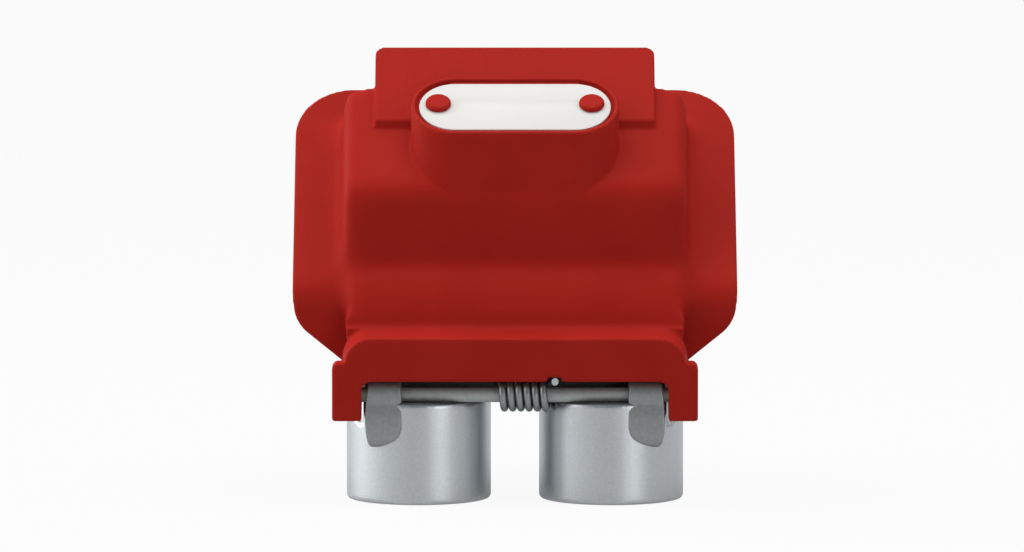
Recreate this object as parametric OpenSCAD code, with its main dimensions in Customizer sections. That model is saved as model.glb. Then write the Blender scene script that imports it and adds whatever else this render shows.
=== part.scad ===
// Twin-line air brake coupler with a sprung hinged cover, in mm, +Z up.
// The ports point down, the cover leans back, the hinge is at the front.

/* [Ports] */
// Outside diameter of a port stub
stub_d = 39; // [38:0.1:40]
// Height of the port stubs below the body
stub_h = 27.6; // [25:0.1:30]
// Distance between the two port axes
port_pitch = 52; // [51:0.5:53]
// Thread core diameter of a port
port_core_d = 20.4; // [18:0.1:24]
// Depth of the port thread
port_core_h = 18; // [14:0.5:20]

/* [Cover] */
// Half width of the cover over its wings
wing_half = 60; // [58:0.25:63]
// Radius of the rear corners of the wings
wing_corner = 16; // [10:0.5:20]
// Thickness of the wing plate
wing_t = 3.2; // [2.8:0.1:3.6]
// Depth of the wing rim under the wing face
rim_h = 7; // [5:0.25:7.5]
// Half width of the dome
dome_half = 46.6; // [46:0.1:47.5]
// Radius of the dome's side edges
dome_round = 3.3; // [1.5:0.1:4]
// Height of the dome roof over the wing face
dome_h = 18.8; // [18.2:0.1:19.2]
// Half width of the grip lip
lip_half = 38; // [34:0.25:40]
// Thickness of the grip lip
lip_t = 3.6; // [3:0.1:4.5]

/* [Name plate] */
// Length of the name plate
plate_l = 51.8; // [46:0.2:54]
// Width of the name plate
plate_w = 19.4; // [17:0.2:20]
// Thickness of the name plate
plate_t = 0.8; // [0.5:0.1:1.2]
// Distance between the two plate studs
stud_pitch = 41.5; // [36:0.5:44]
// Diameter of a stud head
stud_d = 6.9; // [5:0.1:8]

/* [Hinge] */
// Diameter of the hinge pin
pin_d = 4; // [3.6:0.1:4.2]
// Diameter of the spring wire
wire_d = 2; // [1.6:0.1:2.1]
// Mean diameter of the spring coil
coil_d = 7.2; // [7:0.1:7.4]
// Pitch of the spring coil
coil_pitch = 2.2; // [2.15:0.05:2.4]

/* [Seats] */
// Diameter of a valve chamber
chamber_d = 23; // [21:0.5:24]
// Outside diameter of a sealing ring
seal_d = 33; // [31:0.5:34]
// Height of a sealing ring over the body face
seal_h = 4; // [3:0.1:4.2]
// Running clearance of a valve in its chamber, each side
valve_gap = 0.08; // [0.04:0.01:0.1]

/* [Mounting] */
// Distance between the two mounting holes
bolt_pitch = 34; // [30:0.5:38]
// Core diameter of the mounting holes
bolt_core_d = 8.5; // [6.5:0.1:10]
// Depth of the mounting holes
bolt_depth = 16; // [10:0.5:18]

/* [View] */
// Sub-part to build

/* [Hidden] */
$fn = 72;
slope = 46;
wing_y = -4;
wing_z = stub_h + 29;
wing_len = 70.2;
fold_r = 12;
front_y = -19.5;
port_y = front_y + stub_d / 2;
back_gap = 0.1996;
back_y = wing_y + wing_len * cos(slope) + rim_h * sin(slope) + back_gap;
mid_y = (front_y + back_y) / 2;
px = port_pitch / 2;
block_y = -8.5;
pin_y = -14.5;
pin_z = stub_h + 1.8;
bar_low = pin_z + 3.9;
bar_top = wing_z - 11.6;
bar_half = 46.3;
bar_round = 7;
cheek_in = 42.6;
shelf_half = 45.6;
lug_r = 4.2;
lug_in = 30.3;
lug_out = 40.5;
ear_in = 41.2;
ear_out = 49.1;
ear_low = pin_z - 6.7;
ear_top = pin_z + 8.9;
bush_r = 3.2;
bush_end = ear_out - 1.1;
clip_t = 0.5;
clip_x = bush_end + 0.15;
clip_r = 3;
pin_half = clip_x + clip_t + 0.45;
lip_top = dome_h + 1.6;
lip_y = 10.8;
lip_s = 38;
lip_end = 68.3;
dome_end = 56.5;
dome_fillet = 4;
front_round = dome_round - 0.35;
facet_half = wing_half - 0.3;
face_t = -9;
seat_s = 26;
seal_in = chamber_d / 2 - 0.9;
seat_deep = 3;
chamber_deep = 20;
valve_top = 3.3;
valve_wall = 1.6;
valve_len = 7.7;
valve_cap = 2.5;
guide_t = 4;
pad_low = face_t + seal_h + 0.3;
pad_t = 2.5;
pad_d = 33;
screw_d = 5;
screw_head_d = 10;
screw_head_t = 2;
screw_hex = 4.6;
guide_bore = 13;
valve_coil_r = 8.6;
valve_wire_r = 0.7;
bolt_z = stub_h + 27.4;
plate_slope = 35;
boss_r = 11.9;
boss_y = front_y + 16 + boss_r * cos(plate_slope);
boss_z = wing_z + 49.3;
recess = 1.5;
boss_half = plate_l / 2 - plate_w / 2;

// Frames: the part stands on its stub ends with its box centred over the origin
module place() { translate([0, -mid_y, 0]) children(); }
// On the slope of the wings: x across, y up the slope, z out of the wing face
module on_slope() { translate([0, wing_y, wing_z]) rotate([slope, 0, 0]) children(); }
// At the mouth of a seat: z out of the body face
module at_seat(side) { on_slope() translate([side * px, seat_s, face_t]) children(); }
// On the plate boss: z out of the plate
module on_boss() { translate([0, boss_y, boss_z]) rotate([plate_slope, 0, 0]) children(); }
// A side outline given as y,z points, between two x values
module across(x0, x1, pts) {
    translate([x0, 0, 0]) rotate([90, 0, 90]) linear_extrude(x1 - x0) polygon(pts);
}
// A front outline given as x,z points, between two y values
module along(y0, y1) { translate([0, y1, 0]) rotate([90, 0, 0]) linear_extrude(y1 - y0) children(); }
module rod(x0, x1, r) {
    translate([x0, pin_y, pin_z]) rotate([0, 90, 0]) cylinder(r = r, h = x1 - x0);
}
module both() { children(); mirror([1, 0, 0]) children(); }
module slot2d(half, r) {
    square([2 * half, 2 * r], center = true);
    for (i = [-1, 1]) translate([i * half, 0]) circle(r);
}

// Cast body
module stubs() {
    for (i = [-1, 1]) translate([i * px, port_y, 0]) {
        cylinder(r1 = stub_d / 2 - 0.5, r2 = stub_d / 2, h = 0.5);
        translate([0, 0, 0.5]) cylinder(d = stub_d, h = stub_h - 1.1);
        translate([0, 0, stub_h - 0.6]) cylinder(r1 = stub_d / 2, r2 = stub_d / 2 - 0.6, h = 0.6);
    }
}
module block() { translate([-41.5, block_y, stub_h - 0.2]) cube([83, 34, 90]); }
module body() color("silver") place() difference() {
    union() {
        stubs();
        difference() {
            union() {
                block();
                for (i = [-1, 1]) translate([i * px, 25.5, stub_h - 0.2]) cylinder(r = 19.5, h = 90);
                translate([-px + 5, 20, stub_h + 3]) cube([port_pitch - 10, back_y - 20, 51]);
                translate([-10, 20, stub_h + 49]) cube([20, 22, 60]);
            }
            on_slope() translate([-80, -60, face_t]) cube([160, 180, 90]);
        }
    }
    rod(-60, 60, pin_d / 2);
    rod(-5.4, 11, coil_d / 2 + wire_d / 2 + 0.4);
    both() rod(ear_in - 0.45, 60, 8.7);
    for (i = [-1, 1]) {
        translate([i * px, port_y, -1]) cylinder(d = port_core_d, h = port_core_h + 1);
        translate([i * px, port_y, 1]) cylinder(r = 6.8, h = stub_h + 9.4);
        translate([i * px, port_y, stub_h + 5.4]) rotate([-52, 0, 0]) cylinder(r = 6.8, h = 35);
        at_seat(i) translate([0, 0, -chamber_deep]) cylinder(d = chamber_d, h = chamber_deep + 1);
        at_seat(i) translate([0, 0, -seat_deep]) cylinder(d = seal_d, h = seat_deep + 1);
    }
    for (i = [-1, 1]) translate([0, back_y + 1, bolt_z + i * bolt_pitch / 2])
        rotate([90, 0, 0]) cylinder(d = bolt_core_d, h = bolt_depth + 1);
    translate([-3.85, -3, pin_z + coil_d / 2]) rotate([90, 0, 0]) cylinder(d = wire_d + 0.4, h = 6);
}

// Hinge lugs on the front of the ports
module lug_right() color("gray") place() difference() {
    union() {
        rod(lug_in + 0.3, lug_out - 0.9, lug_r);
        intersection() {
            across(lug_in - 1, lug_out + 2, [for (p = [[-lug_r, 0], [-4.25, -2.4], [-4.6, -3.8], [-4.9, -5.2],
                [-5, -7], [-5, -9.2], [-4.6, -11.6], [-3.8, -13.2], [-2.6, -13.9], [8.5, -13.9], [8.5, 3.6],
                [0, 3.6]]) [pin_y + p[0], pin_z + p[1]]]);
            along(-40, 0) polygon(lug_outline);
        }
    }
    rod(-60, 60, pin_d / 2);
    stubs();
    block();
}
lug_outline = [for (p = [[30.6, 11], [30.4, -2.4], [30.5, -8.8], [31.1, -10.8], [32.5, -12.2], [34.8, -13.2],
                         [37.5, -14.1], [38.6, -14], [39.5, -12.8], [40, -10.6], [40.3, -7.4], [40.1, -2.4],
                         [39.2, 4.6], [39.2, 11]]) [p[0], pin_z + p[1]]];
module lug_left() { mirror([1, 0, 0]) lug_right(); }

// Red cover
shelf = [for (p = [[-11.4, -12.4], [-11.4, -9.7], [-10.8, -9.3], [-10.4, -8.5], [-10.1, -7.4], [-9.6, -5.2],
                   [-8.6, -2.2], [-7.2, 0.6], [-5.2, 3.7], [-3.2, 5.8], [-2, 6.8]]) [p[0], wing_z + p[1]]];
shelf_in = [for (p = [[-16, -14], [-7.6, -14], [-7, -11], [-6.5, -6.6], [-5.5, -3], [-4.1, 0.2], [-2.2, 2.9],
                      [0.4, 4.6], [0.4, 24.9], [1.4, 27.4]]) [p[0], wing_z + p[1]]];
function sl(s, t) = [wing_y + s * cos(slope) - t * sin(slope), wing_z + s * sin(slope) + t * cos(slope)];

function arc(cx, cy, r, a0, a1, n = 6) =
    [for (i = [0:n]) let (a = a0 + (a1 - a0) * i / n) [cx + r * cos(a), cy + r * sin(a)]];

module wing2d(grow) {
    h = wing_half + grow;
    r = wing_corner + grow;
    difference() {
        translate([-h, -grow]) square([2 * h, wing_len + 2 * grow]);
        for (i = [0, 1]) mirror([i, 0]) difference() {
            translate([h - r, wing_len + grow - r]) square([r + 1, r + 1]);
            translate([h - r, wing_len + grow - r]) circle(r);
        }
    }
}
module facet2d() {
    right = concat([[facet_half, wing_z + 0.5]], arc(facet_half - 10, wing_z - 3.8, 10, 0, -51),
                   [[bar_half, wing_z - 19.4], [bar_half, wing_z - 20.6]]);
    polygon(concat(right, [for (i = [len(right) - 1:-1:0]) [-right[i][0], right[i][1]]]));
}
// Rounds the outside of the wing's bend, beside the dome
module fold_cut() {
    reach = fold_r * tan((90 - slope) / 2);
    across(dome_half - 0.4, wing_half + 2,
           concat([[wing_y - 3, wing_z - reach]],
                  arc(wing_y + fold_r, wing_z - reach, fold_r, 180, 90 + slope, 6),
                  [sl(reach, 3), [wing_y - 3, wing_z + 1]]));
}
// Hollow fillet between the wing and the side of the dome
module side_fillet() {
    intersection() {
        on_slope() translate([0, dome_end - 0.6, 0]) rotate([90, 0, 0]) linear_extrude(dome_end - 1.6)
            polygon(concat([[dome_half + dome_fillet, -0.5], [dome_half - 0.6, -0.5],
                            [dome_half - 0.6, dome_fillet]],
                           arc(dome_half + dome_fillet, dome_fillet, dome_fillet, 180, 270, 5)));
        across(dome_half - 2, wing_half, [sl(2, -1), sl(10, dome_fillet + 1), sl(dome_end, dome_fillet + 1),
                                          sl(dome_end, -1)]);
    }
}
module bar2d(half, top) {
    polygon(concat([[-half, bar_low], [half, bar_low]],
                   arc(half - bar_round, top - bar_round, bar_round, 0, 90),
                   arc(bar_round - half, top - bar_round, bar_round, 90, 180)));
}
// The bar's top and ends spread from the front face to the shelf
module bar() {
    hull() {
        along(front_y, front_y + 0.1) bar2d(bar_half - 0.6, bar_top);
        along(-11.1, -11) bar2d(bar_half, bar_top + 1.8);
    }
    along(-12, wing_y + 1) bar2d(bar_half, bar_top);
}
module bar_fillet() {
    r = 2.4;
    along(front_y, front_y + 3) polygon(concat([[ear_in + 2, bar_low - r], [ear_in + 2, bar_low + 1],
        [ear_in - r, bar_low + 1]], arc(ear_in - r, bar_low - r, r, 90, 0)));
}
module ear() {
    difference() {
        across(ear_in, ear_out, [[front_y, ear_low], [-13, ear_low], [-9.5, ear_low + 3.3],
                                 [-9.5, ear_top - 1.8], [-11, ear_top], [front_y, ear_top]]);
        translate([ear_out, 0, ear_top]) rotate([0, 45, 0]) cube([1.4, 80, 1.4], center = true);
        rod(ear_in - 1, ear_out + 1, bush_r);
    }
}
module dome_outer() {
    intersection() {
        across(-60, 60, concat([for (p = [[-2.2, -0.6], [-2.2, 6], [-3.5, 24.9], [-3.2, 26.7], [-2.4, 28.4],
                                          [-1, 30.2]]) [p[0], wing_z + p[1]]],
                               [sl(dome_end - 2, dome_h), sl(dome_end, dome_h - 2), sl(dome_end + 2.2, -2),
                                sl(4, -2)]));
        on_slope() translate([0, 100, 0]) rotate([90, 0, 0]) linear_extrude(160)
            polygon(concat([[-dome_half, -30], [dome_half, -30]],
                           arc(dome_half - dome_round, dome_h - dome_round, dome_round, 0, 90),
                           arc(dome_round - dome_half, dome_h - dome_round, dome_round, 90, 180)));
        translate([0, -3.5, wing_z - 26]) linear_extrude(120)
            polygon(concat([[dome_half, 90], [-dome_half, 90]],
                           arc(front_round - dome_half, front_round, front_round, 180, 270, 5),
                           arc(dome_half - front_round, front_round, front_round, 270, 360, 5)));
    }
}
module shelf_outer() {
    intersection() {
        across(-60, 60, concat(shelf, [[2, wing_z + 6.8], [2, wing_z - 6.6], [-7, wing_z - 12.4]]));
        along(-40, 40) polygon([[0.3 - shelf_half, bar_top - 9], [shelf_half - 0.3, bar_top - 9],
                                [shelf_half, wing_z + 10], [-shelf_half, wing_z + 10]]);
    }
}
module lid_inner() {
    intersection() {
        across(-60, 60, concat([[-16, wing_z - 37]], shelf_in,
                               [sl(dome_end - 3.5, dome_h - 3.5), sl(dome_end - 1.5, -wing_t),
                                sl(dome_end - 1.5, -20), [60, wing_z - 7], [60, wing_z - 37]]));
        on_slope() translate([0, 100, 0]) rotate([90, 0, 0]) linear_extrude(260)
            polygon([[-cheek_in, -70], [cheek_in, -70], [cheek_in, dome_h - 3.5], [-cheek_in, dome_h - 3.5]]);
    }
}
module lip2d() {
    translate([-lip_half, lip_s]) square([2 * lip_half, lip_end - lip_s - 2.5]);
    translate([2.5 - lip_half, lip_s]) square([2 * lip_half - 5, lip_end - lip_s]);
    for (i = [-1, 1]) translate([i * (lip_half - 2.5), lip_end - 2.5]) circle(2.5);
}
module lid() color("firebrick") place() difference() {
    union() {
        difference() {
            union() {
                on_slope() translate([0, 0, -rim_h]) linear_extrude(rim_h) wing2d(0);
                along(wing_y, wing_y + wing_t) facet2d();
                dome_outer();
                shelf_outer();
                bar();
            }
            on_slope() translate([0, 0, -rim_h - 1]) linear_extrude(rim_h - wing_t + 1) wing2d(-3);
            lid_inner();
            both() fold_cut();
        }
        both() side_fillet();
        intersection() {
            on_slope() translate([0, 0, lip_top - lip_t]) linear_extrude(lip_t) lip2d();
            translate([-80, lip_y, wing_z + 23.4]) cube([160, 60, 60]);
        }
        boss();
        both() ear();
        both() bar_fillet();
        for (i = [-1, 1]) on_slope() translate([i * px, seat_s, pad_low + pad_t]) {
            cylinder(d = pad_d + 2, h = 3);
            cylinder(d = 12, h = dome_h - pad_low - pad_t - 1.5);
        }
    }
    rod(0.2 - ear_in, ear_in - 0.2, lug_r + 0.5);
    rod(4 - ear_in, ear_in - 4, lug_r + 1.5);
    on_boss() for (i = [-1, 1]) translate([i * stud_pitch / 2, 0.9, -8]) cylinder(d = 3, h = 20);
    for (i = [-1, 1]) on_slope() translate([i * px, seat_s, pad_low + pad_t - 1]) cylinder(d = screw_d, h = 11);
    translate([8.6, -30, pin_z + 0.6]) cube([4, 16, 4.6]);
}
module boss() {
    difference() {
        intersection() {
            translate([0, boss_y, wing_z + 13.4]) linear_extrude(60) boss2d();
            across(-60, 60, [[-20, wing_z + 33.4], [-20, boss_z + (-20 - boss_y) * tan(plate_slope)],
                             [30, boss_z + (30 - boss_y) * tan(plate_slope)], sl(48, dome_h - 2),
                             sl(22, dome_h - 2), [-5, wing_z + 23.4]]);
        }
        on_boss() translate([0, 0, -recess]) linear_extrude(10) slot2d(boss_half, plate_w / 2 + 1);
    }
}
module boss2d() {
    n = 24;
    w = boss_r * cos(plate_slope);
    polygon(concat([for (i = [0:n]) let (a = -90 + 180 * i / n) [boss_half + boss_r * cos(a), w * sin(a)]],
                   [for (i = [0:n]) let (a = 90 + 180 * i / n) [-boss_half + boss_r * cos(a), w * sin(a)]]));
}

// Name plate and its studs
module name_plate() color("white") place() on_boss() translate([0, 0, -recess]) difference() {
    linear_extrude(plate_t) slot2d(boss_half, plate_w / 2);
    for (i = [-1, 1]) translate([i * stud_pitch / 2, 0.9, -1]) cylinder(d = 3, h = 5);
}
module stud(side) color("firebrick") place()
    on_boss() translate([side * stud_pitch / 2, 0.9, -recess + plate_t]) {
        translate([0, 0, -6]) cylinder(d = 3, h = 6.5);
        cylinder(d = stud_d, h = 0.8);
        translate([0, 0, 0.8]) cylinder(d1 = stud_d, d2 = stud_d - 1.2, h = 0.55);
    }
module stud_left() { stud(-1); }
module stud_right() { stud(1); }

// Hinge pin, end clips, bushes and torsion spring
module hinge_pin() color("dimgray") place() difference() {
    rod(-pin_half, pin_half, pin_d / 2);
    both() difference() {
        rod(clip_x, clip_x + clip_t, pin_d);
        rod(clip_x - 1, clip_x + clip_t + 1, pin_d / 2 - 0.5);
    }
}
module clip_right() color("gray") place() difference() {
    rod(clip_x, clip_x + clip_t, clip_r);
    rod(clip_x - 1, clip_x + clip_t + 1, pin_d / 2 - 0.5);
    translate([clip_x - 1, pin_y - 1, pin_z - 10]) cube([3, 2, 10]);
}
module clip_left() { mirror([1, 0, 0]) clip_right(); }
module bush_right() color("goldenrod") place() difference() {
    rod(ear_in, bush_end, bush_r);
    rod(ear_in - 1, ear_out + 1, pin_d / 2 + 0.05);
}
module bush_left() { mirror([1, 0, 0]) bush_right(); }

// Closed tube through a list of rings of points
module tube_mesh(rings, m) {
    n = len(rings);
    pts = [for (g = rings) for (p = g) p];
    polyhedron(pts, concat(
        [[for (k = [0:m - 1]) k]],
        [for (i = [0:n - 2]) for (k = [0:m - 1]) let (j = (k + 1) % m)
            each [[i * m + k, (i + 1) * m + j, i * m + j], [i * m + k, (i + 1) * m + k, (i + 1) * m + j]]],
        [[for (k = [m - 1:-1:0]) (n - 1) * m + k]]));
}
// Coil of a round wire about z with ring planes turned with the coil
function coil_ring(a, r, z, m, w) = [for (k = [0:m - 1])
    let (c = 360 * k / m) [(r + w * cos(c)) * cos(a), (r + w * cos(c)) * sin(a), z + w * sin(c)]];
spring_sides = 10;
spring_steps = 24;
spring_turns = 6;
function leg_ring(y, z, x, m, w) = [for (k = [0:m - 1])
    let (c = 360 * k / m) [y, z + w * cos(c), x + w * sin(c)]];
module torsion_spring() color("slategray") place() {
    r = coil_d / 2;
    w = wire_d / 2;
    x0 = -3.85;
    n = spring_turns * spring_steps;
    first = [for (y = [10.2, 0.6]) leg_ring(y, r, x0, spring_sides, w)];
    coil = [for (i = [1:n - 1]) coil_ring(90 + 360 * i / spring_steps, r, x0 + coil_pitch * i / spring_steps,
                                          spring_sides, w)];
    x1 = x0 + coil_pitch * spring_turns;
    last = [for (q = [[-0.6, 0, 0], [-2.2, 0.15, 0.5], [-4.7, 0.4, 1.4]])
        leg_ring(q[0], r + q[1], x1 + q[2], spring_sides, w)];
    translate([0, pin_y, pin_z]) rotate([90, 0, 90]) tube_mesh(concat(first, coil, last), spring_sides);
}

// Seats: sealing ring, valve, spring and guide; under the cover: pad and screw
module seal(side) color("dimgray") place() at_seat(side) difference() {
    union() {
        translate([0, 0, -seat_deep]) cylinder(d = seal_d, h = seat_deep + seal_h - 1);
        translate([0, 0, seal_h - 1]) cylinder(d1 = seal_d, d2 = seal_d - 2, h = 1);
    }
    translate([0, 0, -seat_deep - 1]) cylinder(r = seal_in, h = 20);
}
module seal_left() { seal(-1); }
module seal_right() { seal(1); }
module valve(side) color("goldenrod") place() at_seat(side) difference() {
    translate([0, 0, -valve_top - valve_len]) cylinder(d = chamber_d - 2 * valve_gap, h = valve_len);
    translate([0, 0, -valve_top - valve_len - 1])
        cylinder(d = chamber_d - 2 * valve_gap - 2 * valve_wall, h = valve_len - valve_cap + 1);
    for (k = [0:5]) rotate([0, 0, 60 * k + 30]) translate([6.4, 0, -valve_top - valve_cap - 1])
        cylinder(d = 3.6, h = valve_cap + 2);
}
module valve_left() { valve(-1); }
module valve_right() { valve(1); }
module valve_spring(side) color("slategray") place() {
    turns = 4;
    steps = 18;
    len = chamber_deep - guide_t - valve_top - valve_cap - 2 * valve_wire_r - 0.2;
    at_seat(side) translate([0, 0, -chamber_deep + guide_t + valve_wire_r + 0.1])
        tube_mesh([for (i = [0:turns * steps])
            coil_ring(360 * i / steps, valve_coil_r, len * i / (turns * steps), 8, valve_wire_r)], 8);
}
module valve_spring_left() { valve_spring(-1); }
module valve_spring_right() { valve_spring(1); }
module guide(side) color("gray") place() at_seat(side) translate([0, 0, -chamber_deep]) difference() {
    cylinder(d = chamber_d, h = guide_t);
    translate([0, 0, -1]) cylinder(d = guide_bore, h = guide_t + 2);
}
module guide_left() { guide(-1); }
module guide_right() { guide(1); }
module pad(side) color("dimgray") place() on_slope() translate([side * px, seat_s, pad_low]) difference() {
    cylinder(d = pad_d, h = pad_t);
    translate([0, 0, -1]) cylinder(d = screw_d, h = pad_t + 2);
}
module pad_left() { pad(-1); }
module pad_right() { pad(1); }
module pad_screw(side) color("gray") place() on_slope() translate([side * px, seat_s, pad_low]) difference() {
    union() {
        translate([0, 0, -screw_head_t]) cylinder(d = screw_head_d, h = screw_head_t);
        cylinder(d = screw_d, h = pad_t + 9);
    }
    translate([0, 0, -screw_head_t - 1]) cylinder(d = screw_hex, h = 2.4, $fn = 6);
}
module pad_screw_left() { pad_screw(-1); }
module pad_screw_right() { pad_screw(1); }

body();
lug_left();
lug_right();
lid();
hinge_pin();
clip_left();
clip_right();
bush_left();
bush_right();
torsion_spring();
name_plate();
stud_left();
stud_right();
seal_left();
seal_right();
pad_left();
pad_right();
pad_screw_left();
pad_screw_right();
valve_left();
valve_right();
valve_spring_left();
valve_spring_right();
guide_left();
guide_right();
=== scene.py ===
"""Twin-line air brake coupler with a sprung red cover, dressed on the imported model."""

import math

import bpy
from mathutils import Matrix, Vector

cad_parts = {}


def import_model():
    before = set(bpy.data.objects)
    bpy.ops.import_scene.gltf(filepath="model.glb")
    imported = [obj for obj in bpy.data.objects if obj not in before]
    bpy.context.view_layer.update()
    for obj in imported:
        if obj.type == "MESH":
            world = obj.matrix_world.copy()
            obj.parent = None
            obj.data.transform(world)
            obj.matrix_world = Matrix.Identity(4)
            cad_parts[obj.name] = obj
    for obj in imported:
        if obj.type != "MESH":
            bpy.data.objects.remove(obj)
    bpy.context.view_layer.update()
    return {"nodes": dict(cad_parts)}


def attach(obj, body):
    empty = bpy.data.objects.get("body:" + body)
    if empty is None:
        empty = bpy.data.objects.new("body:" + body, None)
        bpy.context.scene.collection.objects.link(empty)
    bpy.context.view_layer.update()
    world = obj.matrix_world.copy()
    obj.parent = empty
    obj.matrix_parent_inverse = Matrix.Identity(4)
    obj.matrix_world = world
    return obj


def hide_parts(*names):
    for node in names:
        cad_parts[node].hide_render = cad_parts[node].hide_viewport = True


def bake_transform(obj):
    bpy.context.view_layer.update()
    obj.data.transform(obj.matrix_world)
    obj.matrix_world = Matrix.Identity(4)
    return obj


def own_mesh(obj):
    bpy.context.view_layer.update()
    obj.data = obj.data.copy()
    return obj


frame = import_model()
nodes = frame["nodes"]

# Places of the solids in the frame
MM = 0.001
SIDES = ("left", "right")
PORT_Y = -15.25 * MM
PIN_Y, PIN_Z = PORT_Y - 14.5 * MM, 29.4 * MM
SLOPE = math.radians(46)
ACROSS = Vector((1, 0, 0))
UP_SLOPE = Vector((0, math.cos(SLOPE), math.sin(SLOPE)))
OUT_SLOPE = Vector((0, -math.sin(SLOPE), math.cos(SLOPE)))
WING_FOOT = Vector((0, PORT_Y - 4 * MM, 56.6 * MM))

# Modelling
MERGE = 0.004 * MM
FLAT, CREASE, WIRE_CREASE = math.radians(1), math.radians(35), math.radians(50)


def pick(piece):
    bpy.ops.object.select_all(action="DESELECT")
    piece.select_set(True)
    bpy.context.view_layer.objects.active = piece


def edit(piece, operator, **settings):
    """Runs one mesh operator on the whole of a piece."""
    pick(piece)
    bpy.ops.object.mode_set(mode="EDIT")
    bpy.ops.mesh.select_all(action="SELECT")
    operator(**settings)
    bpy.ops.object.mode_set(mode="OBJECT")


def group(piece, weight):
    """A vertex group whose weights come from each point's place."""
    made = piece.vertex_groups.new(name="weight")
    for vertex in piece.data.vertices:
        w = weight(vertex.co)
        if w > 0.01:
            made.add([vertex.index], min(w, 1.0), "REPLACE")
    return made.name


def modify(piece, kind, weight=None, **settings):
    """Adds a modifier and applies it, by each point's weight where a weight is given."""
    if weight:
        settings["vertex_group"] = group(piece, weight)
    pick(piece)
    modifier = piece.modifiers.new(kind.title(), kind)
    for key, value in settings.items():
        setattr(modifier, key, value)
    bpy.ops.object.modifier_apply(modifier=modifier.name)
    piece.vertex_groups.clear()


def step(x, low, high):
    """0 up to low, 1 from high on, and a smooth rise between them."""
    x = max(0.0, min(1.0, (x - low) / (high - low)))
    return x * x * (3 - 2 * x)


def copy_of(node, name):
    """A merged copy of a solid's mesh, as the start of a dressed piece."""
    piece = bpy.data.objects.new(name, nodes[node].data.copy())
    bpy.context.scene.collection.objects.link(piece)
    piece.data.materials.clear()
    edit(piece, bpy.ops.mesh.remove_doubles, threshold=MERGE)
    return piece


def shade(piece, crease):
    """Smooth shading with hard edges where faces meet at more than the crease."""
    pick(piece)
    bpy.ops.object.shade_smooth_by_angle(angle=crease)


def soft_edges(node, name, width, segments=3):
    """A copy with its sharp edges bevelled."""
    piece = copy_of(node, name)
    edit(piece, bpy.ops.mesh.dissolve_limited, angle_limit=FLAT)
    modify(piece, "BEVEL", width=width, segments=segments, limit_method="ANGLE", angle_limit=CREASE)
    shade(piece, CREASE)
    return piece


def worn(node, name, voxel, passes):
    """A copy in small even faces with every edge rounded over, as on a casting."""
    piece = copy_of(node, name)
    modify(piece, "REMESH", mode="VOXEL", voxel_size=voxel)
    modify(piece, "SMOOTH", factor=0.5, iterations=passes)
    return piece


def thin_out(piece, ratio):
    """Leaves a share of the small faces and shades them smooth."""
    modify(piece, "DECIMATE", ratio=ratio)
    pick(piece)
    bpy.ops.object.shade_smooth()


def wire(name, points, radius):
    """A round wire through a list of points."""
    curve = bpy.data.curves.new(name, "CURVE")
    curve.dimensions = "3D"
    curve.bevel_depth = radius
    curve.bevel_resolution = 5
    curve.use_fill_caps = True
    line = curve.splines.new("POLY")
    line.points.add(len(points) - 1)
    for spot, point in zip(line.points, points):
        spot.co = (*point, 1)
    piece = bpy.data.objects.new(name, curve)
    bpy.context.scene.collection.objects.link(piece)
    pick(piece)
    bpy.ops.object.convert(target="MESH")
    piece = bpy.context.active_object
    shade(piece, WIRE_CREASE)
    return piece


# Materials
class Value:
    """A socket with arithmetic: each operator adds a Math node."""

    def __init__(self, graph, socket):
        self.graph, self.socket = graph, socket

    def _math(self, operation, first, second):
        return self.graph.node("ShaderNodeMath", {"operation": operation}, {0: first, 1: second})

    def __add__(self, other):
        return self._math("ADD", self, other)

    __radd__ = __add__

    def __sub__(self, other):
        return self._math("SUBTRACT", self, other)

    def __rsub__(self, other):
        return self._math("SUBTRACT", other, self)

    def __mul__(self, other):
        return self._math("MULTIPLY", self, other)

    __rmul__ = __mul__


class Graph:
    """A node tree with a method that adds any node, and short forms for the common ones."""

    def __init__(self, tree):
        self.tree = tree

    def node(self, kind, settings=None, inputs=None, output=0):
        made = self.tree.nodes.new(kind)
        for key, value in (settings or {}).items():
            setattr(made, key, value)
        for key, value in (inputs or {}).items():
            if isinstance(value, Value):
                self.tree.links.new(value.socket, made.inputs[key])
            else:
                made.inputs[key].default_value = value
        return Value(self, made.outputs[output])

    def part(self, vector, axis):
        return self.node("ShaderNodeSeparateXYZ", {}, {"Vector": vector}, axis)

    def ramp(self, factor, low, high):
        return self.node("ShaderNodeMapRange", {"interpolation_type": "SMOOTHSTEP"},
                         {"Value": factor, "From Min": low, "From Max": high})

    def seen(self, in_metal):
        """1 for what the camera sees straight, in_metal for what it sees in a reflection, else 0."""
        straight, through, glossy = [self.node("ShaderNodeLightPath", output="Is " + ray + " Ray")
                                     for ray in ("Camera", "Transmission", "Glossy")]
        return straight + through + in_metal * glossy


class Finish(Graph):
    """A material with one principled shader."""

    def __init__(self, name, **constants):
        self.material = bpy.data.materials.new(name)
        self.material.use_nodes = True
        super().__init__(self.material.node_tree)
        self.shader = self.tree.nodes["Principled BSDF"]
        for key, value in constants.items():
            self.shader.inputs[key.replace("_", " ")].default_value = value

    def place(self):
        return self.node("ShaderNodeTexCoord", output="Object")

    def noise(self, scale, detail, roughness=0.55):
        return self.node("ShaderNodeTexNoise", {}, {"Vector": self.place(), "Scale": scale, "Detail": detail,
                                                   "Roughness": roughness})

    def mix(self, factor, first, second):
        """A mix of two colours. The node's colour sockets go by number, since names repeat on it."""
        return self.node("ShaderNodeMix", {"data_type": "RGBA"}, {0: factor, 6: first, 7: second}, 2)

    def bump(self, height, strength, distance):
        return self.node("ShaderNodeBump", {}, {"Strength": strength, "Distance": distance, "Height": height})

    def feed(self, **links):
        """Links values to the shader's sockets and returns the material."""
        for key, value in links.items():
            self.tree.links.new(value.socket, self.shader.inputs[key.replace("_", " ")])
        return self.material


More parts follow.
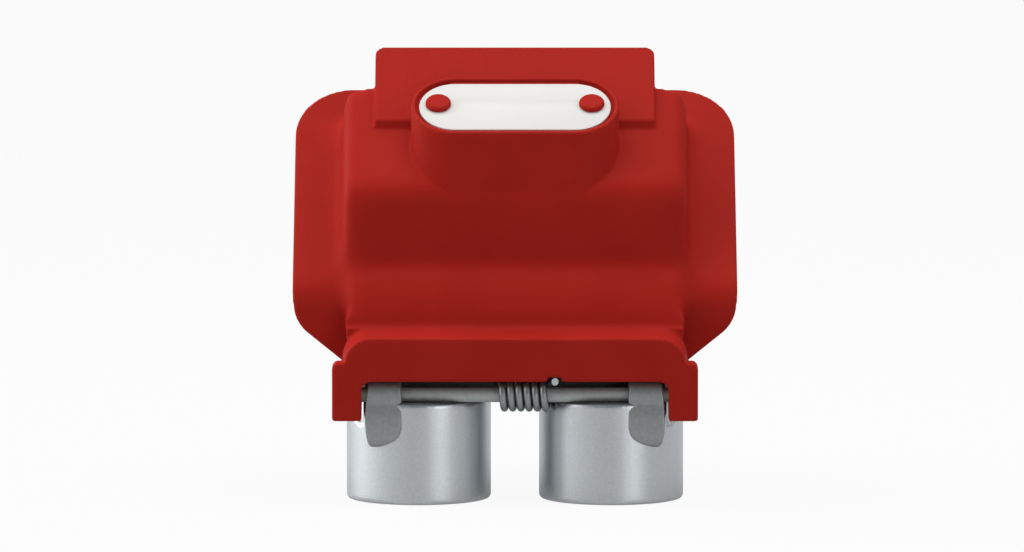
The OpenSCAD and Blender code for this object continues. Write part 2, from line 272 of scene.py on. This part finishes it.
def srgb(r, g, b):
    def line(c):
        c /= 255
        return c / 12.92 if c <= 0.04045 else ((c + 0.055) / 1.055) ** 2.4

    return (line(r), line(g), line(b), 1.0)


def red_paint():
    f = Finish("red_paint", Specular_IOR_Level=0.035)
    patch = f.noise(60, 3)
    grain = f.noise(2600, 3)
    return f.feed(Base_Color=f.mix(f.ramp(patch, 0.3, 0.7), srgb(163, 34, 26), srgb(168, 36, 28)),
                  Roughness=0.5 + 0.1 * grain, Normal=f.bump(grain, 0.1, 0.05 * MM))


def cast_metal():
    """Turned bright metal on the ports, dark cast skin on the block above them. The dark skin is partly
    painted shade: it darkens the gap behind the hinge pin and the ports' top chamfer.
    """
    f = Finish("cast_metal")
    skin_shade_from, skin_shade_to = 26.7 * MM, 27.2 * MM
    speck = f.noise(2400, 5, 0.65)
    patch = f.noise(160, 4)
    # Painted shade as well as cast skin: everything above these heights turns dark, including the gap behind
    # the hinge pin and the ports' top chamfer
    skin_and_shade = f.ramp(f.part(f.place(), "Z"), skin_shade_from, skin_shade_to)
    turned = f.mix(f.ramp(speck, 0.35, 0.7), srgb(198, 203, 206), srgb(212, 217, 220))
    turned = f.mix(0.3 * patch, turned, srgb(182, 187, 190))
    # Dark colour of the cast skin, which also serves as painted shade in the gap behind the hinge pin
    dark_skin_and_shade = f.mix(f.ramp(speck, 0.3, 0.7), srgb(62, 64, 66), srgb(92, 95, 97))
    return f.feed(Base_Color=f.mix(skin_and_shade, turned, dark_skin_and_shade), Metallic=1 - 0.45 * skin_and_shade,
                  Roughness=0.28 + 0.1 * speck + 0.25 * skin_and_shade, Normal=f.bump(speck, 0.12, 0.04 * MM))


def steel(name, tone, rough, metallic=0.9):
    f = Finish(name, Metallic=metallic)
    grain = f.noise(900, 3, 0.5)
    dark, light = srgb(tone - 16, tone - 12, tone - 12), srgb(tone + 12, tone + 16, tone + 16)
    return f.feed(Base_Color=f.mix(grain, dark, light), Roughness=rough + 0.12 * grain,
                  Normal=f.bump(grain, 0.15, 0.03 * MM))


def white_plate():
    f = Finish("white_plate", Specular_IOR_Level=0.15)
    patch = f.noise(120, 3)
    grain = f.noise(3000, 2)
    return f.feed(Base_Color=f.mix(patch, srgb(220, 219, 216), srgb(215, 214, 211)),
                  Roughness=0.38 + 0.08 * grain, Normal=f.bump(grain, 0.08, 0.03 * MM))


def rubber():
    f = Finish("black_rubber", Specular_IOR_Level=0.35)
    grain = f.noise(1800, 4)
    return f.feed(Base_Color=f.mix(grain, srgb(28, 28, 29), srgb(44, 44, 45)),
                  Roughness=0.62 + 0.2 * grain, Normal=f.bump(grain, 0.2, 0.05 * MM))


def brass(name):
    f = Finish(name, Metallic=1.0)
    grain = f.noise(800, 4)
    return f.feed(Base_Color=f.mix(grain, srgb(186, 150, 84), srgb(206, 172, 106)),
                  Roughness=0.3 + 0.15 * grain, Normal=f.bump(grain, 0.1, 0.03 * MM))


RED, CAST, WHITE, RUBBER = red_paint(), cast_metal(), white_plate(), rubber()
PIN_STEEL = steel("pin_steel", 176, 0.5, 0.35)
SPRING_STEEL = steel("spring_steel", 150, 0.3)
LUG_STEEL = steel("lug_steel", 156, 0.42, 0.7)
CLIP_STEEL = steel("clip_steel", 170, 0.3)
SCREW_STEEL = steel("screw_steel", 175, 0.28)
BUSH_BRASS, VALVE_BRASS = brass("bush_brass"), brass("valve_brass")


def dress(piece, material, body, slot, *stands_for):
    piece.data.materials.clear()
    piece.data.materials.append(material)
    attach(piece, body)
    if stands_for:
        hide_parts(*stands_for)


# Red cover, its sizes in mm
RIM_X, RIM_BAND, TOP_RIM = 57.5, 4, (58, 63)
FOOT_Z = (49, 54)
BOSS_HALF, BOSS_Y, BOSS_SQUEEZE, BOSS_EDGE, BOSS_FOOT_Z = 16.2, 6.25, 1.1, (14.5, 17), (80, 84)
LIP_HALF, LIP_OUT, LIP_Y = 40.5, 14, (6.5, 9.5)
DOME_SIDE, WING_ROOT = (35, 41), (50, 55)
HOLLOW_Z, HOLLOW_BAND, HOLLOW_SHARE = 63, (1.5, 5), 0.5
BELLY_Z, BELLY_HALF, BELLY_SIDE, BELLY_Y, BELLY_DEPTH = 72, 11, (36, 45), -0.8, 0.7


def in_mm(co):
    """A point's distance from the middle plane, from the port axes toward the back, and height."""
    return abs(co.x) / MM, (co.y - PORT_Y) / MM, co.z / MM


def dome_weight(co):
    """Heavy rounding on the dome, the shelf and the wing's bend, none near rims, grip lip and plate boss."""
    x, y, z = in_mm(co)
    from_foot = co - WING_FOOT
    along, out = from_foot.dot(UP_SLOPE) / MM, from_foot.dot(OUT_SLOPE) / MM
    rim = step(RIM_X - x, 0, RIM_BAND) * (1 - step(along, *TOP_RIM))
    boss = step(math.hypot(max(x - BOSS_HALF, 0), (y - BOSS_Y) * BOSS_SQUEEZE), *BOSS_EDGE)
    boss = max(boss, 1 - step(z, *BOSS_FOOT_Z))
    lip = 1 - step(y, *LIP_Y) if x < LIP_HALF and out > LIP_OUT else 1.0
    return rim * step(z, *FOOT_Z) * boss * lip


def edge_weight(co):
    """The widest rounds: the dome's side edges and the hollow between its front and the shelf."""
    x, _, z = in_mm(co)
    side = step(x, *DOME_SIDE) * (1 - step(x, *WING_ROOT))
    hollow = 1 - step(abs(z - HOLLOW_Z), *HOLLOW_BAND)
    return dome_weight(co) * max(side, HOLLOW_SHARE * hollow)


def belly_weight(co):
    """The front of the dome is slightly full."""
    x, y, z = in_mm(co)
    if y >= BELLY_Y:
        return 0.0
    return max(0.0, 1 - ((z - BELLY_Z) / BELLY_HALF) ** 2) * (1 - step(x, *BELLY_SIDE))


def red_cover():
    piece = worn("lid", "red_cover", voxel=0.42 * MM, passes=3)
    modify(piece, "DISPLACE", belly_weight, direction="Y", mid_level=0.0, strength=-BELLY_DEPTH * MM)
    modify(piece, "SMOOTH", edge_weight, factor=0.8, iterations=230)
    modify(piece, "SMOOTH", dome_weight, factor=0.5, iterations=36)
    thin_out(piece, 0.27)
    dress(piece, RED, "cover", "cover_red", "lid")


red_cover()


# Cast body, with the block rounded more than the ports under it
def block_weight(co):
    return step(co.z / MM, 29, 34)


def cast_body():
    piece = worn("body", "cast_body", voxel=0.5 * MM, passes=3)
    modify(piece, "SMOOTH", block_weight, factor=0.5, iterations=12)
    thin_out(piece, 0.45)
    dress(piece, CAST, "base", "cast_grey", "body")


cast_body()


# Name plate and studs
dress(soft_edges("name_plate", "plate", 0.15 * MM), WHITE, "cover", "plate_white", "name_plate")
for side in SIDES:
    stud = soft_edges("stud_" + side, "plate_stud_" + side, 0.3 * MM, 4)
    dress(stud, RED, "cover", "cover_red", "stud_" + side)


# Hinge: lugs, pin, clips and torsion spring
for side in SIDES:
    lug = worn("lug_" + side, "hinge_lug_" + side, voxel=0.22 * MM, passes=16)
    thin_out(lug, 0.45)
    dress(lug, LUG_STEEL, "base", "lug_steel", "lug_" + side)
dress(soft_edges("hinge_pin", "pin", 0.3 * MM), PIN_STEEL, "base", "pin_steel", "hinge_pin")
for side in SIDES:
    clip = soft_edges("clip_" + side, "end_clip_" + side, 0.1 * MM)
    dress(clip, CLIP_STEEL, "base", "clip_steel", "clip_" + side)


def hinge_spring():
    """Wire wound on the pin, one leg back into the body and one in the notch of the cover's bar."""
    coil, pitch, turns, first, per_turn = 3.6, 2.2, 6, -3.85, 48
    end = first + pitch * turns
    path = [(first, y, coil) for y in (10.2, 6.0, 2.5)]
    for i in range(turns * per_turn + 1):
        a = math.radians(90 + 360 * i / per_turn)
        path.append((first + pitch * i / per_turn, coil * math.cos(a), coil * math.sin(a)))
    path += [(end + x, y, coil + z) for x, y, z in ((0.15, -1.2, 0.05), (0.5, -2.2, 0.15), (1.4, -4.64, 0.4))]
    piece = wire("hinge_spring", [(x * MM, PIN_Y + y * MM, PIN_Z + z * MM) for x, y, z in path], 1.0 * MM)
    piece.data.materials.append(SPRING_STEEL)
    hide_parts("torsion_spring")
    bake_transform(piece)


hinge_spring()


# Valve springs, wound at one length; on the real coupler they shorten as the valves are pushed in
def valve_spring(side, sign):
    seat_x, seat_along, depth = 26 * MM, 26 * MM, 25 * MM
    coil, length, lift, turns, per_turn = 8.6 * MM, 8.6 * MM, 0.8 * MM, 4, 36
    low = WING_FOOT + seat_along * UP_SLOPE - depth * OUT_SLOPE + sign * seat_x * ACROSS
    points = []
    for i in range(turns * per_turn + 1):
        a = math.radians(360 * i / per_turn)
        rise = lift + length * i / (turns * per_turn)
        points.append(low + rise * OUT_SLOPE + coil * (math.cos(a) * ACROSS + math.sin(a) * UP_SLOPE))
    piece = wire("valve_coil_" + side, points, 0.7 * MM)
    dress(piece, SPRING_STEEL, "base", "spring_steel", "valve_spring_" + side)
    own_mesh(piece)


valve_spring("left", -1)
valve_spring("right", 1)


# Solids whose shape is right keep it and get a finish
for name, material in {"seal": RUBBER, "pad": RUBBER, "pad_screw": SCREW_STEEL, "valve": VALVE_BRASS,
                       "guide": SCREW_STEEL, "bush": BUSH_BRASS}.items():
    for side in SIDES:
        solid = nodes[name + "_" + side]
        solid.data.materials.clear()
        solid.data.materials.append(material)


# Floor, light and camera
WHITE_LIGHT = (1, 1, 1, 1)
FLOOR_METAL, WORLD_METAL = 0.3, 0.25  # how much of floor and backdrop shows in metal
PANELS = (  # angle from the front, lift, cosine at the panel's edge, strength
    (-98, 22, 0.6, 2.4),
    (95, 45, 0.7, 0.8),
    (-40, 0, 0.94, 0.4),
    (36, 0, 0.95, 3.4),
    (-113, 0, 0.9, 3.0),
)


def pale_floor():
    """A grey floor for shade and bounced light that the camera sees as nearly white."""
    bpy.ops.mesh.primitive_plane_add(size=6.0, location=(0, 0, -0.2 * MM))
    plane = bpy.context.active_object
    plane.name = "pale_floor"
    f = Finish("pale_floor", Roughness=0.9, Base_Color=(0.5, 0.5, 0.5, 1))
    whiteness = 0.93 * f.seen(FLOOR_METAL)
    glow = f.node("ShaderNodeEmission", {}, {"Color": WHITE_LIGHT})
    blend = f.node("ShaderNodeMixShader", {}, {0: whiteness, 1: Value(f, f.shader.outputs[0]), 2: glow})
    f.tree.links.new(blend.socket, f.tree.nodes["Material Output"].inputs[0])
    plane.data.materials.append(f.material)


def world():
    """White behind the part, seen straight and faintly in metal, and soft light from panels round it."""
    made = bpy.data.worlds.new("studio")
    bpy.context.scene.world = made
    made.use_nodes = True
    g = Graph(made.node_tree)
    way = g.node("ShaderNodeTexCoord", output="Generated")
    level = 0.17
    for angle, lift, edge, strength in PANELS:
        a, b = math.radians(angle), math.radians(lift)
        toward = (math.sin(a) * math.cos(b), -math.cos(a) * math.cos(b), math.sin(b))
        near = g.node("ShaderNodeVectorMath", {"operation": "DOT_PRODUCT"}, {0: way, 1: toward}, "Value")
        level = level + strength * g.ramp(near, edge, 1.0)
    behind = g.ramp(g.part(way, "Y"), 0.1, 0.7)
    seen = g.seen(WORLD_METAL * behind)
    backdrop = g.tree.nodes["Background"]
    backdrop.inputs["Color"].default_value = WHITE_LIGHT
    g.tree.links.new((seen + (1 - seen) * level).socket, backdrop.inputs["Strength"])


def aimed(name, data, place, aim):
    """Puts a lamp or camera at a place and turns it to its aim."""
    holder = bpy.data.objects.new(name, data)
    bpy.context.scene.collection.objects.link(holder)
    holder.location = place
    holder.rotation_euler = (aim - place).to_track_quat("-Z", "Y").to_euler()
    return holder


def top_lamp():
    light = bpy.data.lights.new("top", "AREA")
    light.shape, light.size, light.size_y, light.energy = "RECTANGLE", 1.0, 0.8, 8.5
    aimed("top", light, Vector((0, -0.05, 1.1)), Vector((0, 0, 0.06)))


def camera():
    lens = bpy.data.cameras.new("camera")
    lens.lens, lens.sensor_width = 300.0, 36.0
    lens.clip_end = 20.0
    lift, distance = math.radians(5.7), 2304 * MM
    aim = Vector((-0.8 * MM, PORT_Y, 60.0 * MM))
    place = aim + distance * Vector((0, -math.cos(lift), math.sin(lift)))
    bpy.context.scene.camera = aimed("camera", lens, place, aim)


pale_floor()
world()
top_lamp()
camera()
bpy.context.scene.view_settings.view_transform = "Standard"
